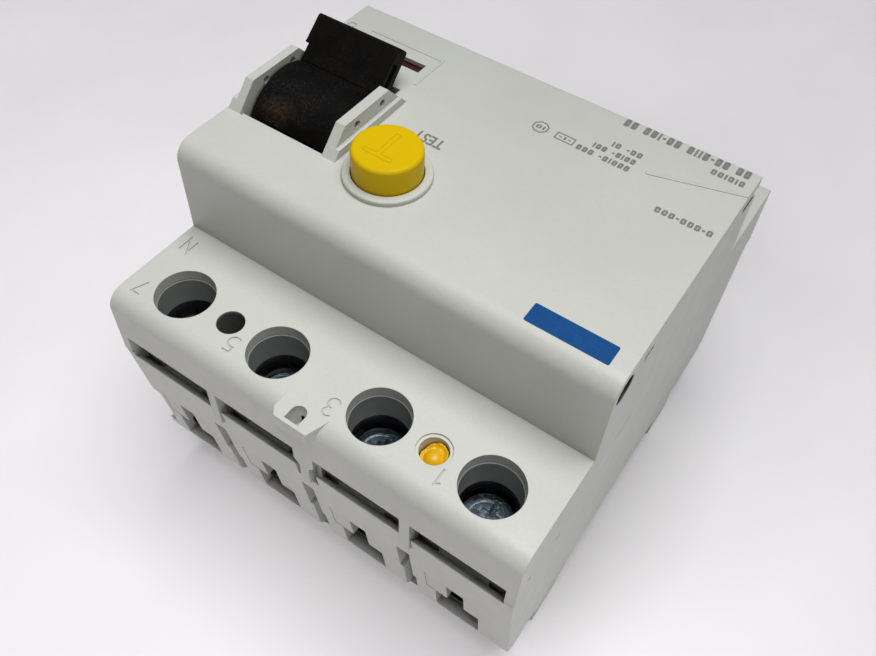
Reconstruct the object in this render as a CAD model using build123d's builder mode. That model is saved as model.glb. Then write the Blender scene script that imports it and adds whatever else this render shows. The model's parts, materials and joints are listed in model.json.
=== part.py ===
"""Four-pole residual current device for a 35 mm rail, in millimetres.

X runs across the poles, +Y points to the line terminals and +Z out of the front face.
The origin is the centre of the seat that rests on the rail. Every piece is drawn at rest:
lever down (contacts open), button released, terminals open, rail clips closed.
"""

from build123d import *
from math import cos, radians, sin
import os

# Housing
WIDTH = 70.0
HALF_WIDTH = WIDTH / 2
HALF_HEIGHT = 40.0
CAP_HALF = 22.5
SHOULDER_Z = 44.0
CAP_Z = 60.0
SEAM_Z = 31.4
WALL = 1.8
EDGE_ROUND = 2.8
FAR_EDGE_ROUND = 0.7
GAP = 0.1
INNER_X = HALF_WIDTH - WALL
SHOULDER_UNDER = SHOULDER_Z - WALL
CAP_UNDER = CAP_Z - WALL

# Base housing profile
BASE_TOP = SEAM_Z - GAP
BASE_TOP_Y = 39.9
BASE_FOOT_Y = 36.6
BASE_FOOT_Z = 6.0
BLOCK_BACK_Z = 4.0
BASE_HALF_X = 34.85
REAR_HALF_X = 34.4
REAR_HALF_Y = 27.0
FOOT_Z = -5.5
FLOOR_Z = 2.0
BAY_FLOOR_Z = 6.0
RAIL_HALF = 17.5

# Poles and terminals
PITCH = 17.5
POLES = (1.5 * PITCH, 0.5 * PITCH, -0.5 * PITCH, -1.5 * PITCH)
BETWEEN = (PITCH, 0.0, -PITCH)
SIDES = (1, -1)
SCREW_Y = 33.1
SCREW_HOLE_R = 4.45
SLEEVE_R = 4.25
SLEEVE_LOW_R = 4.5
SLEEVE_LIP_Z = 37.4
WELL_Z = 29.2
WELL_FLOOR_Z = 30.7
HEAD_R = 4.1
HEAD_Z = (32.0, 34.8)
SHANK_R = 2.45
SHANK_TIP_Z = 19.7
CAGE_HALF_X = 4.9
CAGE_WALL = 1.1
CAGE_Y = (28.6, 35.1)
CAGE_Z = (7.4, 22.4)
CAGE_THREAD = 2.4
BAR_Z = (17.6, 19.6)
BAR_HALF_X = 3.4
HOUSING_SCREW_X = 17.45

# Openings in the end walls, measured from each pole's centre line
SKIRT_Z = 35.3
TABS = ((16.6, 1.5), (-0.45, 3.5), (-17.75, 1.7))
TAB_FOOT_Z = 27.6
EAR_X = 33.5
SLOT_FLOOR_Z = 30.5
WINDOW_X = (-3.85, 4.35)
WINDOW_Z = (27.2, 33.0)
ENTRY_X = (-3.3, 4.3)
ENTRY_Z = (6.9, 13.4)
GUARD_X = (-3.3, 5.9)
GUARD_Z = (13.4, 19.8)
GUARD_SLOT_X = (-0.75, 2.2)

# Lever and its mechanism
DRUM_Y = 2.6
DRUM_Z = 54.2
DRUM_R = 8.8
DRUM_X = (17.6, 32.1)
OPENING_X = (17.25, 32.5)
OPENING_Y = (-7.0, 11.8)
AXLE_R = 1.2
CHEEK_TOP = 63.8
SHAFT_Y = 4.0
SHAFT_Z = 24.0
SHAFT_R = 3.4
TRUNNION_R = 2.0
OPEN_ANGLE = 24.0
CRANK_R = 10.5
CRANK_ANGLE = -38.0
CRANK_X = (20.7, 21.9)
EYE_R = 4.5
LINK_R = 0.65
LINK_X = 19.7
FRAME_X = ((16.5, 17.4), (32.25, 33.15))
FLAG_Y = -13.0
FLAG_Z = 44.0
FLAG_R = 15.1

# Test button
BUTTON_X = 7.55
BUTTON_Y = 9.3
BUTTON_R = 5.05
BUTTON_TOP = 65.0
COLLAR_R = 6.4
COLLAR_H = 0.8
BOARD_Z = (48.4, 50.0)

# Trip relay and current transformer
RELAY_X = (-6.0, 11.0)
RELAY_Y = (-12.0, 0.0)
RELAY_Z = (35.5, 48.3)
PLUNGER_Y = -6.0
PLUNGER_Z = 41.75
PLUNGER_R = 0.9
TRIP_X = 15.3
TRIP_Z = 35.6
RING_X = 0.0
RING_Z = 18.6
RING_Y = (-19.0, -10.0)
RING_R = 13.0
RING_BORE_R = 6.5
WIRE_R = 1.5

CLIP_X = (PITCH, -PITCH)
CLIP_HALF = 5.0


def block(xs, ys, zs, mode=Mode.ADD):
    """A box given by its range along each axis."""
    middle = [(low + high) / 2 for low, high in (xs, ys, zs)]
    size = [abs(high - low) for low, high in (xs, ys, zs)]
    with Locations(tuple(middle)):
        Box(*size, mode=mode)


def post(radius, x, y, zs, mode=Mode.ADD):
    """A round bar standing along Z."""
    with Locations((x, y, (zs[0] + zs[1]) / 2)):
        Cylinder(radius, zs[1] - zs[0], mode=mode)


def bar(radius, xs, y, z, mode=Mode.ADD):
    """A round bar lying along X."""
    with Locations(Location(((xs[0] + xs[1]) / 2, y, z), (0, 90, 0))):
        Cylinder(radius, xs[1] - xs[0], mode=mode)


def spindle(radius, x, ys, z, mode=Mode.ADD):
    """A round bar lying along Y."""
    with Locations(Location((x, (ys[0] + ys[1]) / 2, z), (90, 0, 0))):
        Cylinder(radius, ys[1] - ys[0], mode=mode)


def across(points, xs, mode=Mode.ADD, plane=Plane.YZ):
    """A (Y, Z) outline carried along X from xs[0] to xs[1]."""
    with BuildSketch(plane.offset(xs[0])) as outline:
        with BuildLine():
            Polyline(*points, close=True)
        make_face()
    extrude(outline.sketch, amount=xs[1] - xs[0], mode=mode)


def end_face_y(z):
    """Y of the base's sloping end face at height z."""
    share = (z - BASE_FOOT_Z) / (BASE_TOP - BASE_FOOT_Z)
    return BASE_FOOT_Y + share * (BASE_TOP_Y - BASE_FOOT_Y)


def span(side, low, high):
    """A Y range on one side of the device, in rising order."""
    return (low, high) if side > 0 else (-high, -low)


def save(piece, label):
    piece.part.label = label
    export_step(piece.part, f"parts/{label}.step")


os.makedirs("parts", exist_ok=True)

# Front cover: a stepped shell with a skirt, lever cheeks and a button collar -------------
COVER_OUTLINE = (
    (-HALF_HEIGHT, SEAM_Z),
    (HALF_HEIGHT, SEAM_Z),
    (HALF_HEIGHT, SHOULDER_Z),
    (CAP_HALF, SHOULDER_Z),
    (CAP_HALF, CAP_Z),
    (-CAP_HALF, CAP_Z),
    (-CAP_HALF, SHOULDER_Z),
    (-HALF_HEIGHT, SHOULDER_Z),
)
SKIRT_IN = HALF_HEIGHT - 2.0
CAP_IN = CAP_HALF - WALL
COVER_HOLLOW = (
    (-SKIRT_IN, SEAM_Z - 1),
    (SKIRT_IN, SEAM_Z - 1),
    (SKIRT_IN, SHOULDER_UNDER),
    (CAP_IN, SHOULDER_UNDER),
    (CAP_IN, CAP_UNDER),
    (-CAP_IN, CAP_UNDER),
    (-CAP_IN, SHOULDER_UNDER),
    (-SKIRT_IN, SHOULDER_UNDER),
)
CHEEK_Y = (-5.3, 11.8)
LEDGE_TOP = 61.3
CHEEK = (
    (CHEEK_Y[1], CAP_UNDER),
    (CHEEK_Y[1], CAP_Z),
    (8.2, CHEEK_TOP),
    (-1.9, CHEEK_TOP),
    (CHEEK_Y[0], CAP_Z),
    (CHEEK_Y[0], CAP_UNDER),
)
CHEEK_LEDGE = (
    (CHEEK_Y[1], CAP_UNDER),
    (CHEEK_Y[1], CAP_Z),
    (10.6, LEDGE_TOP),
    (-4.1, LEDGE_TOP),
    (CHEEK_Y[0], CAP_Z),
    (CHEEK_Y[0], CAP_UNDER),
)
SEAL_HOLES = (5.6, -0.3)
BOARD_POSTS = ((-28.5, -13.0), (-28.5, 14.0), (-3.0, 17.0), (12.0, -14.0))
STROKE = 0.24
GLYPH_LINES = {
    "7": (((-0.9, 1.5), (0.9, 1.5), (-0.3, -1.5)),),
    "N": (((-0.9, -1.5), (-0.9, 1.5), (0.9, -1.5), (0.9, 1.5)),),
    "1": (((-0.6, 0.9), (0.2, 1.5), (0.2, -1.5)),),
    "4": (((0.4, -1.5), (0.4, 1.5)), ((0.15, 1.4), (-1.0, -0.6), (1.0, -0.6))),
    "5": (((0.8, 1.5), (-0.6, 1.5), (-0.7, 0.3)),),
    "2": (((0.7, 0.4), (-0.9, -1.5), (0.9, -1.5)),),
}
GLYPH_BOWS = {
    "5": (((-0.7, 0.3), (0.95, -0.5), (-0.8, -1.35)),),
    "3": (((-0.8, 1.3), (0.75, 0.8), (-0.2, 0.1)), ((-0.2, 0.1), (0.95, -0.75), (-0.9, -1.3))),
    "2": (((-0.85, 0.8), (0.3, 1.5), (0.7, 0.4)),),
    "6": (((-0.85, -0.6), (-0.4, 0.9), (0.6, 1.5)),),
}
GLYPH_RINGS = {"6": ((0.85, -0.65),), "8": ((0.7, 0.8), (0.85, -0.65)), "0": ((1.2, 0.0),)}


def glyph(mark, x, y, z, size=0.82, depth=0.15):
    """Engraves one character, upright when seen from the front with +Y up."""
    with BuildSketch(Plane.XY.offset(z)) as shape:
        for line in GLYPH_LINES.get(mark, ()):
            with BuildLine():
                Polyline(*[(x + size * u, y + size * v) for u, v in line])
            trace(line_width=STROKE)
        for bow in GLYPH_BOWS.get(mark, ()):
            with BuildLine():
                ThreePointArc(*[(x + size * u, y + size * v) for u, v in bow])
            trace(line_width=STROKE)
        for radius, v in GLYPH_RINGS.get(mark, ()):
            with Locations((x, y + size * v)):
                Circle(size * radius + STROKE / 2)
                Circle(size * radius - STROKE / 2, mode=Mode.SUBTRACT)
    extrude(shape.sketch, amount=-depth, mode=Mode.SUBTRACT)


with BuildPart() as front_cover:
    across(COVER_OUTLINE, (-HALF_WIDTH, HALF_WIDTH))
    long_edges = front_cover.edges().filter_by(Axis.X)
    shoulder = [e for e in long_edges if abs(e.center().Z - SHOULDER_Z) < 0.1 and e.center().Y > CAP_HALF + 1]
    rim = [e for e in long_edges if abs(e.center().Z - CAP_Z) < 0.1 and e.center().Y > 0]
    fillet(shoulder + rim, EDGE_ROUND)
    far_edges = front_cover.edges().filter_by(Axis.X).filter_by(lambda e: e.center().Y < -CAP_HALF + 0.1)
    fillet([e for e in far_edges if abs(e.center().Z - CAP_Z) < 0.1], FAR_EDGE_ROUND)
    far_edges = front_cover.edges().filter_by(Axis.X).filter_by(lambda e: e.center().Y < -HALF_HEIGHT + 0.1)
    fillet([e for e in far_edges if abs(e.center().Z - SHOULDER_Z) < 0.1], FAR_EDGE_ROUND)
    across(COVER_HOLLOW, (-INNER_X, INNER_X), Mode.SUBTRACT)
    for side in SIDES:
        below_skirt = span(side, SKIRT_IN - GAP, HALF_HEIGHT + 1)
        block((-EAR_X, EAR_X), below_skirt, (SEAM_Z - 1, SKIRT_Z), Mode.SUBTRACT)
        for tab_x, tab_w in TABS:
            foot = tab_w / 2 if tab_w < 3 else 0.8
            with BuildSketch(Plane.XZ.offset(-side * HALF_HEIGHT)):
                with BuildLine():
                    Polyline(
                        (tab_x - tab_w / 2, SKIRT_Z + 0.5),
                        (tab_x + tab_w / 2, SKIRT_Z + 0.5),
                        (tab_x + tab_w / 2, SKIRT_Z - 2.5),
                        (tab_x + foot, SKIRT_Z - 3.6),
                        (tab_x + foot, TAB_FOOT_Z),
                        (tab_x - foot, TAB_FOOT_Z),
                        (tab_x - foot, SKIRT_Z - 3.6),
                        (tab_x - tab_w / 2, SKIRT_Z - 2.5),
                        close=True,
                    )
                make_face()
            extrude(amount=side * 1.5)
        for pole in POLES:
            post(SCREW_HOLE_R, pole, side * SCREW_Y, (SHOULDER_UNDER - 1, SHOULDER_Z + 1), Mode.SUBTRACT)
        for screw_side in (1, -1):
            screw_x = screw_side * HOUSING_SCREW_X
            post(3.0, screw_x, side * SCREW_Y, (WELL_Z, SHOULDER_UNDER + 0.5))
            post(2.05, screw_x, side * SCREW_Y, (WELL_FLOOR_Z, SHOULDER_Z + 1), Mode.SUBTRACT)
            post(1.45, screw_x, side * SCREW_Y, (WELL_Z - 1, WELL_FLOOR_Z + 1), Mode.SUBTRACT)
    # recess around the sealed screw
    post(2.5, -HOUSING_SCREW_X, SCREW_Y, (SHOULDER_Z - 0.3, SHOULDER_Z + 1), Mode.SUBTRACT)
    # sealing lug with a D-shaped hole
    with BuildSketch(Plane.XY.offset(SHOULDER_Z)):
        with BuildLine():
            Polyline((-4.2, 37.0), (-2.8, 41.1), (2.6, 41.1), (3.4, 40.0), (3.6, 37.0), close=True)
        make_face()
    extrude(amount=-2.4)
    with BuildSketch(Plane.XY.offset(SHOULDER_Z)):
        with Locations((0.1, 39.0)):
            Circle(1.15)
        with Locations((0.1, 39.8)):
            Rectangle(2.3, 1.4)
    extrude(amount=-4.0, mode=Mode.SUBTRACT)
    # lever opening, its cheeks and their sealing-wire holes
    for low, high in ((15.6, OPENING_X[0]), (OPENING_X[1], 33.9)):
        across(CHEEK, (low, high))
    for low, high in ((14.9, OPENING_X[0]), (OPENING_X[1], 34.7)):
        across(CHEEK_LEDGE, (low, high))
    block(OPENING_X, OPENING_Y, (CAP_UNDER - 1, CAP_Z + 1), Mode.SUBTRACT)
    # low ledge along the near edge of the opening
    block(OPENING_X, (OPENING_Y[1] - 0.7, OPENING_Y[1] + 0.1), (CAP_UNDER, CAP_Z - 0.35))
    for seal_y in SEAL_HOLES:
        bar(0.6, (14.0, 36.0), seal_y, 62.4, Mode.SUBTRACT)
    # position window beside a thin raised line, thinned underneath for the indicator
    block((15.95, 30.0), (-17.0, -16.6), (CAP_Z - 0.5, CAP_Z + 0.08))
    block((15.95, 16.35), (-17.0, -9.3), (CAP_Z - 0.5, CAP_Z + 0.08))
    block((17.2, 29.2), (-19.4, -7.7), (CAP_UNDER - 1, CAP_Z - 0.75), Mode.SUBTRACT)
    block((17.6, 27.0), (-14.25, -12.1), (CAP_UNDER - 1, CAP_Z + 1), Mode.SUBTRACT)
    # button collar
    post(COLLAR_R, BUTTON_X, BUTTON_Y, (CAP_UNDER, CAP_Z + COLLAR_H))
    collar = front_cover.edges().filter_by(GeomType.CIRCLE).filter_by(
        lambda e: abs(e.center().Z - CAP_Z - COLLAR_H) < 0.01 and abs(e.radius - COLLAR_R) < 0.01
    )
    fillet(collar, 0.35)
    post(BUTTON_R + 0.15, BUTTON_X, BUTTON_Y, (CAP_UNDER - 1, CAP_Z + 2), Mode.SUBTRACT)
    # low raised line that bounds the label field
    with BuildSketch(Plane.XY.offset(CAP_Z - 0.5)):
        with BuildLine():
            Line((-21.5, -12.85), (-34.95, -17.0))
        trace(line_width=0.55)
        with Locations((-21.5, -12.85)):
            Circle(0.275)
    extrude(amount=0.6)
    # auxiliary-contact hole and snap windows in the -X wall
    bar(2.15, (-HALF_WIDTH - 1, -INNER_X + 1), 19.3, 56.4, Mode.SUBTRACT)
    for ys, zs in (((11.6, 14.3), (56.2, 57.3)), ((-23.0, -16.8), (56.2, 57.8))):
        block((-HALF_WIDTH - 1, -INNER_X + 0.5), ys, zs, Mode.SUBTRACT)
    for ys, zs in (((9.8, 14.9), (38.1, 38.9)), ((28.4, 29.9), (33.2, 33.8))):
        block((-HALF_WIDTH - 1, -HALF_WIDTH + 0.9), ys, zs, Mode.SUBTRACT)
    bar(0.45, (-HALF_WIDTH - 1, -HALF_WIDTH + 0.6), 36.8, 34.7, Mode.SUBTRACT)
    # shadow gap along the joint with the base
    for sign in (1, -1):
        block((sign * (HALF_WIDTH - 0.35), sign * 36), (-41, 41), (SEAM_Z - 1, SEAM_Z + 0.3), Mode.SUBTRACT)
        for side in SIDES:
            block((sign * EAR_X, sign * 36), span(side, 39.6, 41), (SEAM_Z - 1, SEAM_Z + 0.3), Mode.SUBTRACT)
    # posts that carry the circuit board
    for post_x, post_y in BOARD_POSTS:
        post(1.8, post_x, post_y, (BOARD_Z[1] + GAP, CAP_UNDER + 0.5))
        post(0.8, post_x, post_y, (BOARD_Z[1] - 1, BOARD_Z[1] + 4.5), Mode.SUBTRACT)
    # engraved terminal numbers and the off mark
    for mark, pole in zip("7531", POLES):
        glyph(mark, pole + 6.0, 35.85, SHOULDER_Z)
    for mark, pole in zip("8642", POLES):
        glyph(mark, pole + 6.0, -35.85, SHOULDER_Z)
    for side in SIDES:
        glyph("N", POLES[0] + 6.35, side * 25.95, SHOULDER_Z)
    glyph("0", 33.55, -16.0, CAP_Z, 0.5, 0.1)

save(front_cover, "front_cover")

# Base housing: the rear half with terminal bays, rail seat, hook and clip channels ---------
BASE_OUTLINE = (
    (-BASE_TOP_Y, BASE_TOP),
    (BASE_TOP_Y, BASE_TOP),
    (BASE_FOOT_Y, BASE_FOOT_Z),
    (BASE_FOOT_Y - 1.8, BLOCK_BACK_Z),
    (-BASE_FOOT_Y + 1.8, BLOCK_BACK_Z),
    (-BASE_FOOT_Y, BASE_FOOT_Z),
)
BASE_HOLLOW = (
    (-37.9, BASE_TOP + 1),
    (37.9, BASE_TOP + 1),
    (35.3, 8.0),
    (34.4, BAY_FLOOR_Z),
    (25.0, BAY_FLOOR_Z),
    (25.0, FLOOR_Z),
    (-25.0, FLOOR_Z),
    (-25.0, BAY_FLOOR_Z),
    (-34.4, BAY_FLOOR_Z),
    (-35.3, 8.0),
)
INNER_WALL_Y = (36.2, 37.5)
FUNNEL = ((41, SLOT_FLOOR_Z), (39.7, SLOT_FLOOR_Z), (37.5, 27.2), (37.5, 34.2), (41, 34.2))
SLOT_DEPTH = 2.4


def cut_end_wall(side):
    """Busbar slots, wire entries, tab notches and barrier grooves of one end wall."""
    edges = [EAR_X, -EAR_X]
    for tab_x, tab_w in TABS:
        edges += [tab_x + tab_w / 2, tab_x - tab_w / 2]
    edges.sort(reverse=True)
    funnel = [(side * y, z) for y, z in FUNNEL]
    for high, low in zip(edges[::2], edges[1::2]):
        across(funnel, (low, high), Mode.SUBTRACT)
    for tab_x, tab_w in TABS:
        half = tab_w / 2 + GAP
        notch = (TAB_FOOT_Z - 0.3, 40)
        block((tab_x - half, tab_x + half), span(side, HALF_HEIGHT - 1.6, 42), notch, Mode.SUBTRACT)
    for pole in POLES:
        block((pole + WINDOW_X[0], pole + WINDOW_X[1]), span(side, 35.0, 37.6), WINDOW_Z, Mode.SUBTRACT)
        block((pole + ENTRY_X[0], pole + ENTRY_X[1]), span(side, 33.5, 41), ENTRY_Z, Mode.SUBTRACT)
        block((pole + GUARD_X[0], pole + GUARD_X[1]), span(side, 33.5, 41), GUARD_Z, Mode.SUBTRACT)
    for middle in BETWEEN:
        groove(side, (middle - 0.4, middle + 1.9), (14.5, 23.3))
        groove(side, (middle - 0.4, middle + 1.3), (5.0, 23.3))
        groove(side, (middle - 0.9, middle + 1.3), (5.0, 13.2))
    groove(side, (33.3, HALF_WIDTH + 1), (8.0, 18.2))


def groove(side, xs, zs):
    """A groove of even depth in the sloping end face."""
    outline = [
        (side * (end_face_y(zs[0]) - SLOT_DEPTH), zs[0]),
        (side * 42, zs[0]),
        (side * 42, zs[1]),
        (side * (end_face_y(zs[1]) - SLOT_DEPTH), zs[1]),
    ]
    across(outline, xs, Mode.SUBTRACT)


with BuildPart() as base_housing:
    across(BASE_OUTLINE, (-BASE_HALF_X, BASE_HALF_X))
    block((-REAR_HALF_X, REAR_HALF_X), (-REAR_HALF_Y, REAR_HALF_Y), (0, BLOCK_BACK_Z + 1))
    # feet behind the rail plane, the +Y one with its fixed hook
    block((-REAR_HALF_X, REAR_HALF_X), (RAIL_HALF + 0.5, 26), (FOOT_Z, 1))
    block((-REAR_HALF_X, REAR_HALF_X), (-26, -RAIL_HALF - 0.9), (FOOT_Z, 1))
    block((-REAR_HALF_X, REAR_HALF_X), (RAIL_HALF - 1.7, RAIL_HALF + 1), (-3.2, -1.3))
    across(BASE_HOLLOW, (-INNER_X, INNER_X), Mode.SUBTRACT)
    for side in SIDES:
        # inner wall with the busbar windows, bay partitions and barrier pads
        block((-INNER_X + 0.1, INNER_X - 0.1), span(side, *INNER_WALL_Y), (25.0, 33.9))
        for middle in BETWEEN:
            block((middle - 0.8, middle + 0.8), span(side, 24.5, 36.5), (BAY_FLOOR_Z - 1, 33.5))
            block((middle - 1.7, middle + 2.7), span(side, 32.8, 36.0), (BAY_FLOOR_Z - 1, 24.0))
        block((32.4, INNER_X + 0.1), span(side, 32.8, 36.0), (BAY_FLOOR_Z - 1, 19.0))
        for screw_side in (1, -1):
            post(2.9, screw_side * HOUSING_SCREW_X, side * SCREW_Y, (BAY_FLOOR_Z - 1, WELL_Z - GAP))
            post(3.1, screw_side * HOUSING_SCREW_X, side * SCREW_Y, (WELL_Z - GAP, 36.0), Mode.SUBTRACT)
        cut_end_wall(side)
        for screw_side in (1, -1):
            post(1.35, screw_side * HOUSING_SCREW_X, side * SCREW_Y, (10.0, 35.0), Mode.SUBTRACT)
        for pole in POLES:
            post(HEAD_R + 0.15, pole, side * SCREW_Y, (HEAD_Z[0] - 0.1, 36.0), Mode.SUBTRACT)
    # steps that keep the rail seat clear of the hook and the clip noses
    block((-36, 36), (RAIL_HALF - 1.9, RAIL_HALF + 0.5), (-0.01, 0.6), Mode.SUBTRACT)
    block((-36, 36), (-RAIL_HALF - 0.9, -RAIL_HALF + 1.9), (-0.01, 0.6), Mode.SUBTRACT)
    # contact-shaft bearings
    for low, high in ((-32.2, -30.7), (30.7, 32.2)):
        block((low, high), (SHAFT_Y - 5, SHAFT_Y + 5), (FLOOR_Z - 0.5, SHAFT_Z + 4))
    bar(TRUNNION_R + 0.06, (-33.0, 33.0), SHAFT_Y, SHAFT_Z, Mode.SUBTRACT)
    # cradle under the current transformer
    block((RING_X - 10, RING_X + 10), (RING_Y[0] + 1, RING_Y[1] - 1), (FLOOR_Z - 0.5, 10.0))
    spindle(RING_R + GAP, RING_X, (RING_Y[0] - 3, RING_Y[1] + 3), RING_Z, Mode.SUBTRACT)
    # clip channels in the -Y foot
    for clip_x in CLIP_X:
        block((clip_x - 7.5, clip_x + 7.5), (-25.5, -13.5), (FLOOR_Z - 0.5, 5.4))
        block((clip_x - 5.1, clip_x + 5.1), (-REAR_HALF_Y - 1, -14.6), (FOOT_Z - 1, 3.9), Mode.SUBTRACT)
        block((clip_x - 6.1, clip_x + 6.1), (-REAR_HALF_Y - 1, -14.6), (0.9, 2.3), Mode.SUBTRACT)
save(base_housing, "base_housing")

# Small plastic parts of the housing ------------------------------------------------------
with BuildPart() as seal_plug:
    post(1.98, -HOUSING_SCREW_X, SCREW_Y, (38.2, SHOULDER_Z - 0.8))
    fillet(seal_plug.edges().group_by(Axis.Z)[-1], 0.5)
    post(0.75, -HOUSING_SCREW_X, SCREW_Y, (SHOULDER_Z - 0.9, SHOULDER_Z - 0.2))
    fillet(seal_plug.edges().group_by(Axis.Z)[-1], 0.3)
save(seal_plug, "seal_plug")

with BuildPart() as housing_screws:
    for side in SIDES:
        for screw_side in (1, -1):
            x = screw_side * HOUSING_SCREW_X
            top = WELL_FLOOR_Z + 1.7
            post(1.9, x, side * SCREW_Y, (WELL_FLOOR_Z + 0.05, top))
            post(1.3, x, side * SCREW_Y, (12.0, WELL_FLOOR_Z + 0.1))
            for half_x, half_y in ((1.2, 0.25), (0.25, 1.2)):
                arm_y = span(side, SCREW_Y - half_y, SCREW_Y + half_y)
                block((x - half_x, x + half_x), arm_y, (top - 0.7, top + 1), Mode.SUBTRACT)
save(housing_screws, "housing_screws")


def guard_plate(side, pole):
    """One insulating insert that narrows a wire entry to a T."""
    low, high = GUARD_Z[0], GUARD_Z[1] - 0.06
    inset = 0.05
    thickness = 1.4
    outline = [
        (side * (end_face_y(low) - inset), low),
        (side * (end_face_y(high) - inset), high),
        (side * (end_face_y(high) - thickness), high),
        (side * (end_face_y(low) - thickness), low),
    ]
    across(outline, (pole + GUARD_X[0] + 0.06, pole + GUARD_X[1] - 0.06))
    slot_x = (pole + GUARD_SLOT_X[0], pole + GUARD_SLOT_X[1])
    block(slot_x, span(side, 30, 42), (low - 1, high + 1), Mode.SUBTRACT)
    lip = [
        (side * (end_face_y(high) - inset), high),
        (side * (end_face_y(high) - thickness), high),
        (side * (end_face_y(high) - thickness), high - 0.35),
        (side * (end_face_y(high) - inset), high - 0.35),
    ]
    across(lip, (slot_x[0] - 0.5, slot_x[1] + 0.5))


with BuildPart() as wire_guards_line:
    for pole in POLES:
        guard_plate(1, pole)
save(wire_guards_line, "wire_guards_line")

with BuildPart() as wire_guards_load:
    for pole in POLES:
        guard_plate(-1, pole)
save(wire_guards_load, "wire_guards_load")


def shroud(side):
    """A strip under the cover with one dark sleeve over each terminal screw."""
    block((-32.8, 32.8), span(side, 28.6, 36.9), (SHOULDER_UNDER - 1.4, SHOULDER_UNDER - GAP))
    for pole in POLES:
        post(5.1, pole, side * SCREW_Y, (34.9, SHOULDER_UNDER - 0.5))
    block((-34, 34), span(side, 37.7, 39), (30, SHOULDER_UNDER), Mode.SUBTRACT)
    for pole in POLES:
        post(SLEEVE_R, pole, side * SCREW_Y, (30, SHOULDER_Z), Mode.SUBTRACT)
        post(SLEEVE_LOW_R, pole, side * SCREW_Y, (30, SLEEVE_LIP_Z), Mode.SUBTRACT)
    for screw_side in (1, -1):
        post(3.15, screw_side * HOUSING_SCREW_X, side * SCREW_Y, (30, SHOULDER_Z), Mode.SUBTRACT)


with BuildPart() as terminal_shroud_line:
    shroud(1)
save(terminal_shroud_line, "terminal_shroud_line")

with BuildPart() as terminal_shroud_load:
    shroud(-1)
save(terminal_shroud_load, "terminal_shroud_load")


def rail_clip(x):
    """A sliding clip with a nose that hooks behind the rail and a tail for a screwdriver."""
    block((x - CLIP_HALF, x + CLIP_HALF), (-36.0, -RAIL_HALF - 0.2), (0.1, 3.7))
    block((x - 6.0, x + 6.0), (-26.0, -RAIL_HALF - 1), (1.0, 2.2))
    block((x - CLIP_HALF, x + CLIP_HALF), (-25.5, -RAIL_HALF - 0.2), (FOOT_Z + 0.2, 0.2))
    nose = ((-0.3, -1.25), (0.6, -1.25), (1.5, -2.0), (-0.3, -4.2))
    across([(y - RAIL_HALF, z) for y, z in nose], (x - CLIP_HALF, x + CLIP_HALF))
    block((x - 2.2, x + 2.2), (-34.6, -32.2), (0, 4), Mode.SUBTRACT)


with BuildPart() as rail_clip_right:
    rail_clip(CLIP_X[0])
save(rail_clip_right, "rail_clip_right")

with BuildPart() as rail_clip_left:
    rail_clip(CLIP_X[1])
save(rail_clip_left, "rail_clip_left")


# Terminals -------------------------------------------------------------------------------
def terminal_screw(side, pole):
    """A captive clamping screw with a combined slot and cross recess."""
    y = side * SCREW_Y
    post(HEAD_R, pole, y, HEAD_Z)
    post(SHANK_R, pole, y, (SHANK_TIP_Z, HEAD_Z[0] + 0.5))
    # ring groove round the driver recess
    post(2.75, pole, y, (HEAD_Z[1] - 0.25, HEAD_Z[1] + 1), Mode.SUBTRACT)
    post(2.35, pole, y, (HEAD_Z[1] - 0.5, HEAD_Z[1]))
    for half_x, half_y, depth in ((0.45, 3.0, 1.4), (2.4, 0.45, 1.4), (1.3, 1.3, 1.0)):
        floor = HEAD_Z[1] - depth
        block((pole - half_x, pole + half_x), (y - half_y, y + half_y), (floor, 36), Mode.SUBTRACT)


def terminal_cage(side, pole):
    """A steel box that rises on the screw and lifts the wire to the terminal bar."""
    ys = span(side, *CAGE_Y)
    block((pole - CAGE_HALF_X, pole + CAGE_HALF_X), ys, CAGE_Z)
    inner = CAGE_HALF_X - CAGE_WALL
    hollow = (CAGE_Z[0] + 1.2, CAGE_Z[1] - CAGE_THREAD)
    block((pole - inner, pole + inner), (ys[0] - 1, ys[1] + 1), hollow, Mode.SUBTRACT)
    post(SHANK_R + 0.05, pole, side * SCREW_Y, (CAGE_Z[0] + 2, CAGE_Z[1] + 1), Mode.SUBTRACT)


TERMINALS = [(name, 1, pole) for name, pole in zip(("7n", "5", "3", "1"), POLES)]
TERMINALS += [(name, -1, pole) for name, pole in zip(("8n", "6", "4", "2"), POLES)]
for name, side, pole in TERMINALS:
    with BuildPart() as screw:
        terminal_screw(side, pole)
        rim = screw.edges().filter_by(GeomType.CIRCLE).group_by(Axis.Z)[-1]
        chamfer([edge for edge in rim if edge.radius > HEAD_R - 0.01], 0.35)
    save(screw, f"terminal_screw_{name}")
    with BuildPart() as cage:
        terminal_cage(side, pole)
        lengthwise = cage.edges().filter_by(Axis.Y)
        fillet([e for e in lengthwise if abs(abs(e.center().X - pole) - CAGE_HALF_X) < 0.01], 0.8)
    save(cage, f"terminal_cage_{name}")

with BuildPart() as line_terminal_bars:
    for pole in POLES:
        block((pole - BAR_HALF_X, pole + BAR_HALF_X), (18.0, 35.0), BAR_Z)
save(line_terminal_bars, "line_terminal_bars")

with BuildPart() as load_terminal_bars:
    for pole in POLES:
        block((pole - BAR_HALF_X, pole + BAR_HALF_X), (-35.0, -24.6), BAR_Z)
save(load_terminal_bars, "load_terminal_bars")

CONTACT_Y = 20.2
with BuildPart() as fixed_contact_tips:
    for pole in POLES:
        post(1.9, pole, CONTACT_Y, (BAR_Z[1] + 0.02, BAR_Z[1] + 1.2))
save(fixed_contact_tips, "fixed_contact_tips")

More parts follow.
